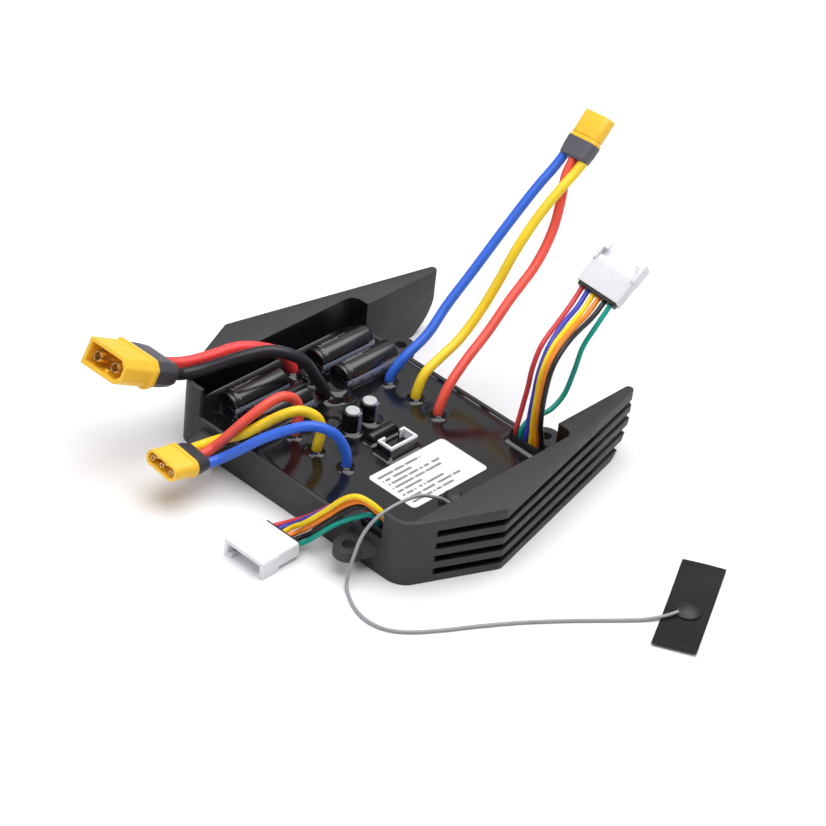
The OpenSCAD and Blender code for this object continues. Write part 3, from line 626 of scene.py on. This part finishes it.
def smooth_route(route):
    """Catmull-Rom curve through the points, as the CAD draws it."""
    ends = [2 * route[0] - route[1], *route, 2 * route[-1] - route[-2]]
    line = []
    for i in range(len(route) - 1):
        a, b, c, d = ends[i:i + 4]
        for step in range(ROUTE_STEPS):
            t = step / ROUTE_STEPS
            line.append(0.5 * (2 * b + (c - a) * t + (2 * a - 5 * b + 4 * c - d) * t ** 2
                               + (3 * b - a - 3 * c + d) * t ** 3))
    return [*line, route[-1]]


def lead(node, route_mm, diameter_mm, material):
    """One free wire along its route, from its exit to its connector."""
    line = smooth_route([Vector(p) * MM for p in route_mm])
    data = bpy.data.curves.new(node + "_lead", "CURVE")
    data.dimensions = "3D"
    data.bevel_depth = diameter_mm / 2 * MM
    data.bevel_resolution = 6
    data.use_fill_caps = True
    spline = data.splines.new("POLY")
    spline.points.add(len(line) - 1)
    for point, place in zip(spline.points, line):
        point.co = (*place, 1)
    data.materials.append(MATERIALS[material])
    obj = bpy.data.objects.new(node + "_lead", data)
    bpy.context.scene.collection.objects.link(obj)
    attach(obj, "root")
    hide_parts(node)
    return obj


def sensor_end(place, index, roll=0.0, tilt=0.0):
    """Where a sensor wire meets the rear of its shell."""
    shift = (index - 2.5) * SENSOR_PITCH
    roll, tilt = math.radians(roll), math.radians(tilt)
    return (place[0] + shift * math.cos(roll),
            place[1] + shift * math.sin(roll) * math.sin(tilt),
            place[2] - shift * math.sin(roll) * math.cos(tilt))


def make_leads():
    """All 21 wires, each from its exit to its connector."""
    for colour, route in BATTERY_ROUTES.items():
        lead("battery_wire_" + colour, route, BATTERY_D, "battery_" + colour)
    for colour, route in FRONT_MOTOR_ROUTES.items():
        lead("front_motor_wire_" + colour, route, MOTOR_D, "motor_" + colour)
    for colour, route in REAR_MOTOR_ROUTES.items():
        lead("rear_motor_wire_" + colour, route, MOTOR_D, "motor_" + colour)
    for index, colour in enumerate(SENSOR_ORDER):
        route = [*REAR_SENSOR_ROUTES[colour],
                 sensor_end(REAR_SENSOR_PLACE, index, REAR_SENSOR_ROLL, REAR_SENSOR_TILT)]
        lead("rear_sensor_wire_" + colour, route, SENSOR_D, "sensor_" + colour)
        route = [*FRONT_SENSOR_ROUTES[colour], sensor_end(FRONT_SENSOR_PLACE, index)]
        lead("front_sensor_wire_" + colour, route, SENSOR_D, "sensor_" + colour)
    lead("antenna_cable", ANTENNA_ROUTE, COAX_D, "coax_grey")


# ------------------------------------------------------------------ potting

CAVITY = ((-52, -51), (52, 28.1))
BULK_PLACES = ((-39.5, -2.6), (-27.5, -2.6), (-39.3, -43.6), (-27.5, -43.6))
BULK_Z = 16.0
SMALL_PLACES = ((-6.9, -16.6), (-7.4, -8))
SMALL_R = 3.4
SMALL_TOP = 20.8
COLLAR_PLACES = ((37.2, -47.7, 15), (37.2, 23, 16))
GROMMET_PLACE = (42.5, -18.8)
GROMMET_R = 4
# x0, x1, y0, y1 of the pieces that the resin climbs
HEADER_BOX = (6.8, 13.3, -18.3, -5.7)
FUSE_BOX = (0.2, 3.8, -16.8, -5.6)
# x, y, rise and width of slow swells over the parts below the resin
SWELLS = ((-17, -9, 0.8, 3.6), (-14, -18, 0.5, 3.4), (-27, -24, 0.7, 4.0),
          (-3, -24, 0.5, 3.5))
# x, y, reach along x, reach along y and rise of the humps in front of the rear cans
HUMPS = ((-25.2, -6.0, 6.0, 5.4, 3.7), (-38.2, -5.6, 5.6, 4.2, 2.9))
HUMP_BASE = 2.5
SKIRT_DEPTH = 3


def corner_pull(points):
    """Moves a full rectangle's points onto the cavity's rounded corners."""
    moved = points.copy()
    (x0, y0), (x1, y1) = CAVITY
    for x, y, radius in ((x0, y0, 5), (x1, y0, 5), (x0, y1, 3.5), (x1, y1, 3.5)):
        side_x = 1 if x > 0 else -1
        side_y = 1 if y == y1 else -1
        centre = np.array((x - side_x * radius, y - side_y * radius))
        away = (points - centre) * (side_x, side_y)
        inside = (away[:, 0] > 0) & (away[:, 1] > 0)
        reach = np.linalg.norm(away[inside], axis=1)
        keep = away[inside].max(axis=1) / np.maximum(reach, 1e-6)
        moved[inside] = centre + away[inside] * keep[:, None] * (side_x, side_y)
    return moved


def distance_to_box(points, x0, x1, y0, y1):
    """How far each point lies outside a rectangle."""
    outside = np.maximum(np.maximum((x0 - points[:, 0], y0 - points[:, 1]),
                                    (points[:, 0] - x1, points[:, 1] - y1)), 0)
    return np.linalg.norm(outside, axis=0)


def potting_height(points):
    """Level resin with slow swells, and a meniscus wherever it meets a piece."""
    height = np.full(len(points), POTTING_Z)
    x, y = points[:, 0], points[:, 1]
    height += 0.07 * np.sin(x / 7.1 + 1.1 * np.sin(y / 9.3)) * np.sin(y / 8.1 + x / 21)

    def climb(distance, rise, width):
        nonlocal height
        height += rise * np.exp(-np.maximum(distance, 0) / width)

    for routes, diameter in ((BATTERY_ROUTES, BATTERY_D), (FRONT_MOTOR_ROUTES, MOTOR_D),
                             (REAR_MOTOR_ROUTES, MOTOR_D)):
        for route in routes.values():
            climb(np.hypot(x - route[0][0], y - route[0][1]) - diameter / 2, 1.5, 0.8)
    for px, py in SMALL_PLACES:
        climb(np.hypot(x - px, y - py) - SMALL_R, 1.4, 1.1)
    for px, py in BULK_PLACES:
        climb(distance_to_box(points, px - 3.4, px + 3.4, py + 1, py + 25), 1.3, 1.1)
    for px, py, _ in COLLAR_PLACES:
        climb(distance_to_box(points, px - 7.5, px + 7.5, py - 2.2, py + 2.2), 0.9, 0.9)
    climb(distance_to_box(points, *HEADER_BOX), 1.5, 1.0)
    climb(distance_to_box(points, *FUSE_BOX), 1.6, 1.2)
    climb(np.hypot(x - GROMMET_PLACE[0], y - GROMMET_PLACE[1]) - GROMMET_R, 0.9, 0.9)
    (x0, y0), (x1, y1) = CAVITY
    for gap in (x - x0, x1 - x, y - y0, y1 - y):
        climb(gap, 0.5, 0.8)
    for px, py, rise, width in SWELLS:
        height += rise * np.exp(-(((x - px) ** 2 + (y - py) ** 2) / width ** 2) ** 1.3)
    for px, py, reach_x, reach_y, rise in HUMPS:
        away = (np.abs((x - px) / reach_x) ** 2.6 + np.abs((y - py) / reach_y) ** 2.6) ** 0.385
        crest = (rise + HUMP_BASE - 0.5 * away ** 2) / (1 + np.exp((away - 1.06) * 8))
        height = np.logaddexp(4 * height, 4 * (POTTING_Z - HUMP_BASE + crest)) / 4
    return height


def make_potting():
    """The resin: a fine grid for its surface, with a skirt and a floor below."""
    spacing = 0.5
    (x0, y0), (x1, y1) = CAVITY
    columns = round((x1 - x0) / spacing) + 1
    rows = round((y1 - y0) / spacing) + 1
    grid_y, grid_x = np.meshgrid(np.linspace(y0, y1, rows), np.linspace(x0, x1, columns),
                                 indexing="ij")
    flat = corner_pull(np.column_stack((grid_x.ravel(), grid_y.ravel())))
    top = np.column_stack((flat, potting_height(flat)))
    cells = [(r * columns + c, r * columns + c + 1, (r + 1) * columns + c + 1,
              (r + 1) * columns + c) for r in range(rows - 1) for c in range(columns - 1)]
    rim = ([*range(columns)] + [r * columns + columns - 1 for r in range(1, rows)]
           + [(rows - 1) * columns + c for c in range(columns - 2, -1, -1)]
           + [r * columns for r in range(rows - 2, 0, -1)])
    first = len(top)
    skirt = top[rim].copy()
    skirt[:, 2] = POTTING_Z - SKIRT_DEPTH
    count = len(rim)
    walls = [(rim[k], first + k, first + (k + 1) % count, rim[(k + 1) % count])
             for k in range(count)]
    mesh = mesh_of("potting_fill", [*top, *skirt],
                   [*cells, *walls, tuple(first + k for k in range(count))])
    return add_piece("potting_fill", mesh, "potting_black", ("potting",),
                     smooth=60)


# ------------------------------------------------------------------ components

def rounded_steps(radius, height, corner, count=6):
    """Profile points of an outer edge that turns from a side into a flat top."""
    return [(radius - corner + corner * math.cos(PI / 2 * i / count),
             height - corner + corner * math.sin(PI / 2 * i / count))
            for i in range(count + 1)]


def make_bulk_capacitor(index):
    """A lying can in a shrink sleeve: turned-over sleeve lip, bung and crimp groove."""
    profile = [(0, 0.7), (2.2, 0.7), (2.5, 0.55), (3.7, 0.5), (3.95, 0.25), (4.3, 0.02),
               (4.62, 0.08), (4.86, 0.3), (4.96, 0.65), (4.97, 1.2), (4.86, 1.55),
               (4.62, 1.85), (4.52, 2.1), (4.62, 2.35), (4.86, 2.65), (4.97, 3.0),
               (5.0, 3.6), (5.0, 14), (5.0, 24.1), (4.93, 24.55), (4.7, 24.86), (4.35, 25),
               (4.0, 24.95), (3.8, 24.7), (3.5, 24.62), (0, 24.6)]
    shape = Shape().revolve(profile, 72)
    name = f"bulk_capacitor_{index + 1}"
    x, y = BULK_PLACES[index]
    place = (Matrix.Translation(Vector((x, y, BULK_Z)) * MM)
             @ Matrix.Rotation(math.radians(-90), 4, "X")
             @ Matrix.Rotation(math.radians(8), 4, "Z"))
    return add_piece(name + "_can", shape.mesh(name), "capacitor_sleeve",
                     (name,), place, smooth=50)


def make_small_capacitor(index):
    """An upright can: sleeve turned in over the bright rounded top."""
    name = f"small_capacitor_{index + 1}"
    x, y = SMALL_PLACES[index]
    top = SMALL_TOP - 7.6
    place = (Matrix.Translation(Vector((x, y, 7.6)) * MM)
             @ Matrix.Rotation(math.radians(-40), 4, "Z"))
    r = SMALL_R
    sleeve = [(0, 0.1), (r - 0.3, 0.1), (r - 0.05, 0.3), (r, 0.8), (r - 0.02, 1.4),
              (r - 0.3, 1.8), (r - 0.02, 2.2), (r, 2.8), (r, top - 1.6),
              *rounded_steps(r, top - 0.12, 0.5, 8), (r - 0.8, top - 0.16),
              (r - 0.86, top - 0.3), (0, top - 0.3)]
    body = add_piece(name + "_sleeve", Shape().revolve(sleeve, 64).mesh(name + "_sleeve"),
                     "small_sleeve", (), place, smooth=60)
    crown = [(0, top - 0.7), (r - 0.88, top - 0.7), (r - 0.9, top - 0.1),
             (r - 1.0, top), (0, top)]
    cap = Shape().revolve(crown, 64)
    lid = add_piece(name + "_top", cap.mesh(name + "_top"), "can_aluminium",
                    (name,), place, smooth=30)
    return body, lid


def make_fuse():
    """A short sleeved cylinder lying beside the header, half sunk in the resin."""
    r, length, corner = 2.3, 12.1, 0.8
    end = [(0, 0), *[(r - corner + corner * math.sin(PI / 2 * i / 6),
                      corner - corner * math.cos(PI / 2 * i / 6)) for i in range(7)]]
    profile = [*end, (r - 0.02, 2.2), (r, 4), *rounded_steps(r, length, corner), (0, length)]
    place = (Matrix.Translation(Vector((2, -17.3, POTTING_Z + 1.8)) * MM)
             @ Matrix.Rotation(math.radians(-90), 4, "X"))
    return add_piece("sleeved_fuse_body", Shape().revolve(profile, 48).mesh("fuse"),
                     "sleeve_black", ("sleeved_fuse",), place, smooth=50)


def rounded(corners, count=5):
    """Closed outline from (x, z, radius) corners, each turned as an arc."""
    outline = []
    total = len(corners)
    for i, (x, z, radius) in enumerate(corners):
        b = Vector((x, z))
        a, c = Vector(corners[i - 1][:2]), Vector(corners[(i + 1) % total][:2])
        u, v = (a - b).normalized(), (c - b).normalized()
        half = math.acos(max(-1, min(1, u.dot(v)))) / 2
        centre = b + (u + v).normalized() * radius / math.sin(half)
        start = b + u * radius / math.tan(half) - centre
        stop = b + v * radius / math.tan(half) - centre
        turn = math.atan2(start.x * stop.y - start.y * stop.x, start.dot(stop))
        first = math.atan2(start.y, start.x)
        for k in range(count + 1):
            angle = first + turn * k / count
            outline.append((centre.x + radius * math.cos(angle),
                            centre.y + radius * math.sin(angle)))
    return outline


def block(width, height, radius, count=5):
    """Outline of a rectangle with round corners, centred on the origin."""
    return rounded([(-width / 2, -height / 2, radius), (width / 2, -height / 2, radius),
                    (width / 2, height / 2, radius), (-width / 2, height / 2, radius)], count)


def flat_ring(outline, z):
    """An outline as a level ring of points."""
    return [(x, y, z) for x, y in outline]


def make_label():
    """The plate on the resin, with its edge turned down a little."""
    width, length, corner = 21.6, 35.4, 1.6
    rings = [flat_ring(block(width - 2 * inset, length - 2 * inset, corner - inset, 8), z)
             for inset, z in ((0, -0.1), (0, 0.1), (0.08, 0.15))]
    place = Matrix.Translation(Vector((25.9, -13.1, POTTING_Z + 0.12)) * MM)
    return add_piece("rating_label_plate", Shape().loft(rings).mesh("label"),
                     "label_white", ("rating_label",), place)


def make_collar(which, place):
    """Oval shrink sleeve with an open mouth that the six wires come out of."""
    x, y, top = place
    width, depth = 15, 4.4
    rings = []
    for z, grow in ((7.6, 0), (top - 1.2, 0), (top - 0.25, -0.12), (top, -0.35),
                    (top - 0.1, -0.8), (top - 0.6, -1.0), (top - 2.2, -1.0)):
        rings.append(flat_ring(block(width + grow, depth + grow, (depth + grow) / 2 - 0.1, 9), z))
    centre = Matrix.Translation(Vector((x, y, 0)) * MM)
    return add_piece(which + "_sensor_collar_sleeve", Shape().loft(rings).mesh("collar"),
                     "rubber_black", (which + "_sensor_collar",), centre)


def make_grommet():
    """Domed black boot where the coax leaves the resin."""
    r, height = GROMMET_R, 5.4
    profile = [(0, 0), (r, 0), (r, 2.2), *rounded_steps(r, height, 3, 10), (0, height)]
    place = Matrix.Translation(Vector((*GROMMET_PLACE, POTTING_Z - 1)) * MM)
    return add_piece("antenna_grommet_boot", Shape().revolve(profile, 56).mesh("grommet"),
                     "rubber_black", ("antenna_grommet",), place, smooth=50)


def split_pin(shape, x, y0, y1, radius, bore, slot, slit_from):
    """A round contact along Y whose front end is a ring of four leaves."""
    steps = 32
    shape.loft([[(x + radius * math.cos(2 * PI * k / steps), y,
                  radius * math.sin(2 * PI * k / steps)) for k in range(steps)]
                for y in (y0, slit_from)])
    half = math.asin(slot / 2 / radius)
    inner_half = math.asin(min(0.99, slot / 2 / bore))
    for quarter in range(4):
        middle = PI / 4 + quarter * PI / 2

        def leaf(r, b, y):
            outer = [middle - PI / 4 + half + (PI / 2 - 2 * half) * k / 6 for k in range(7)]
            inner = [middle + PI / 4 - inner_half - (PI / 2 - 2 * inner_half) * k / 6
                     for k in range(7)]
            return ([(x + r * math.cos(a), y, r * math.sin(a)) for a in outer]
                    + [(x + b * math.cos(a), y, b * math.sin(a)) for a in inner])
        shape.loft([leaf(radius, bore, slit_from - 0.01),
                    leaf(radius * 1.04, bore, (slit_from + y1) / 2),
                    leaf(radius, bore, y1 - 0.35 * radius),
                    leaf(radius * 0.86, bore * 1.1, y1)])


def keyed(width, height):
    """Outline of the battery plug, with two corners cut off."""
    cut = 0.27 * height
    return rounded([(-width / 2 + cut, -height / 2, 1.8), (width / 2, -height / 2, 0.8),
                    (width / 2, height / 2, 0.8), (-width / 2 + cut, height / 2, 1.8),
                    (-width / 2, height / 2 - cut, 1.8),
                    (-width / 2, -height / 2 + cut, 1.8)])


def stadium(width, height):
    """Outline of a motor plug, round at both ends."""
    return block(width, height, 0.45 * height, 8)


def make_sheath(plug, place, width, height, length, outline, taper=1.0):
    """Soft sleeve over the solder cups: full at the flange, pulled in at the wires."""
    rings = []
    for y, narrower, lower in ((0, 3.6, 3.2), (0.12, 2.8, 2.4), (0.45, 2.1, 1.6), (1.1, 1.5, 1.1),
                               (2.4, 1.1, 0.7), (length / 2, 0.4, 0.2), (length, 0, 0)):
        rings.append([(x, y, z) for x, z in outline(width - narrower * taper,
                                                    height - lower * taper)])
    return add_piece(plug + "_plug_sheath_body", Shape().loft(rings).mesh(plug + "_sheath"),
                     plug + "_sheath", (plug + "_plug_sheath",), place,
                     smooth=60)


def make_contacts():
    """The split pins of the battery plug and the front motor plug."""
    battery = Shape()
    for side in (-1, 1):
        split_pin(battery, side * BATTERY_PIN_PITCH / 2, y0=13, y1=28.4, radius=1.92,
                  bore=1.2, slot=0.45, slit_from=22)
    add_piece("battery_contacts", battery.mesh("battery_contacts"), "contact_gold",
              ("battery_plug_pins",), BATTERY_FRAME)
    motor = Shape()
    for i in (-1, 0, 1):
        split_pin(motor, i * MOTOR_PIN_PITCH, y0=7, y1=17.1, radius=0.96,
                  bore=0.5, slot=0.3, slit_from=13)
    add_piece("front_motor_contacts", motor.mesh("front_motor_contacts"), "contact_gold",
              ("front_motor_plug_pins",), FRONT_MOTOR_FRAME)


def make_moulded_parts():
    """CAD bodies whose shape is right, with their edges rounded."""
    refined("housing", "housing_black", 0.3, 3)
    refined("header_shell", "header_black", 0.12)
    refined("header_rim", "shell_white", 0.12)
    refined("header_pins", "tin_pins", 0.05)
    refined("antenna_dome", "rubber_black", 0.2)
    refined("rear_motor_plug_sockets", "contact_gold", 0.1)
    for plug in ("battery", "front_motor", "rear_motor"):
        refined(plug + "_plug_shell", "plug_yellow", 0.28, 3)
    for end in ("front", "rear"):
        refined(end + "_sensor_shell", "shell_white", 0.14)
        refined(end + "_sensor_seal", "rubber_black", 0.12)
        refined(end + "_sensor_contacts", "tin_pins", 0.05)
    for node, material in (("thermal_pads", "pad_grey"), ("power_transistors", "chip_black"),
                           ("circuit_board", "board_green"), ("control_chips", "chip_black"),
                           ("receiver_module", "board_blue")):
        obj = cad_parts[node]
        obj.data.materials.clear()
        obj.data.materials.append(MATERIALS[material])


def make_antenna_strip():
    """Flexible strip, curled at its ends, with a crimped border and slight warp."""
    length, width, thick, curl = 46.4, 14.8, 0.3, 1.0
    along, across = 60, 18
    top, under = [], []
    for i in range(along + 1):
        for j in range(across + 1):
            s, t = 2 * i / along - 1, 2 * j / across - 1
            x, y = s * length / 2, t * width / 2
            lift = curl * s * s + 0.08 * (1 + math.sin(5 * s + 2 * t)) * (1 - t * t)
            edge = 0.12 if max(abs(s), abs(t)) > 0.93 else 0.0
            top.append((x, y, lift + thick - edge))
            under.append((x, y, lift * 0.98))
    count = len(top)
    faces = []
    for i in range(along):
        for j in range(across):
            a = i * (across + 1) + j
            b = a + across + 1
            faces.append((a, b, b + 1, a + 1))
            faces.append((count + a, count + a + 1, count + b + 1, count + b))
    rim = ([*range(across + 1)]
           + [i * (across + 1) + across for i in range(1, along + 1)]
           + [along * (across + 1) + j for j in range(across - 1, -1, -1)]
           + [i * (across + 1) for i in range(along - 1, 0, -1)])
    for k, a in enumerate(rim):
        b = rim[(k + 1) % len(rim)]
        faces.append((a, b, count + b, count + a))
    place = turned(ANTENNA_PLACE, z=ANTENNA_TURN)
    return add_piece("antenna_strip", mesh_of("antenna_strip", [*top, *under], faces),
                     "antenna_film", ("antenna_patch",), place, smooth=40)


# ------------------------------------------------------------------ stage

def area_light(name, place, target, size, power):
    """A soft rectangular lamp that looks at the target."""
    data = bpy.data.lights.new(name, "AREA")
    data.shape = "RECTANGLE"
    data.size, data.size_y = size
    data.energy = power
    obj = bpy.data.objects.new(name, data)
    bpy.context.scene.collection.objects.link(obj)
    obj.location = place
    obj.rotation_euler = (Vector(target) - Vector(place)).to_track_quat("-Z", "Y").to_euler()


def make_stage():
    """Plain white floor under a bright even studio."""
    floor = bmesh.new()
    bmesh.ops.create_grid(floor, x_segments=4, y_segments=4, size=6)
    mesh = bpy.data.meshes.new("floor")
    floor.to_mesh(mesh)
    floor.free()
    obj = bpy.data.objects.new("floor", mesh)
    obj.location.z = -0.02 * MM
    bpy.context.scene.collection.objects.link(obj)
    paper = Material("floor_paper", 0.9, specular=0.1)
    paper.vary((0.9, 0.9, 0.91), 0.995, 300)
    mesh.materials.append(paper.data)
    world = bpy.data.worlds.new("studio")
    world.use_nodes = True
    world.node_tree.nodes["Background"].inputs["Color"].default_value = (0.92, 0.92, 1.0, 1)
    world.node_tree.nodes["Background"].inputs["Strength"].default_value = 0.2
    bpy.context.scene.world = world
    area_light("key", (0.1, 0.2, 1.3), (0, 0.05, 0), (1.6, 1.6), 27)
    area_light("front", (-0.35, -1.1, 0.75), (0, -0.02, 0.02), (0.9, 0.5), 3.4)
    area_light("backdrop", (-0.62, 0.72, 0.75), (0, 0, 0), (1.1, 0.6), 1.05)
    bpy.context.scene.view_settings.view_transform = "Standard"


# ------------------------------------------------------------------ build

make_camera()
make_moulded_parts()
make_contacts()
make_sheath("battery", BATTERY_FRAME, width=18, height=9.6, length=13, outline=keyed)
make_sheath("front_motor", FRONT_MOTOR_FRAME, width=13.8, height=6.2, length=7, outline=stadium)
make_sheath("rear_motor", REAR_MOTOR_FRAME, width=13.2, height=6.2, length=7, outline=stadium,
            taper=0.45)
make_antenna_strip()
make_leads()
make_potting()
for number in range(4):
    make_bulk_capacitor(number)
for number in range(2):
    make_small_capacitor(number)
make_fuse()
make_label()
make_collar("front", COLLAR_PLACES[0])
make_collar("rear", COLLAR_PLACES[1])
make_grommet()
make_stage()
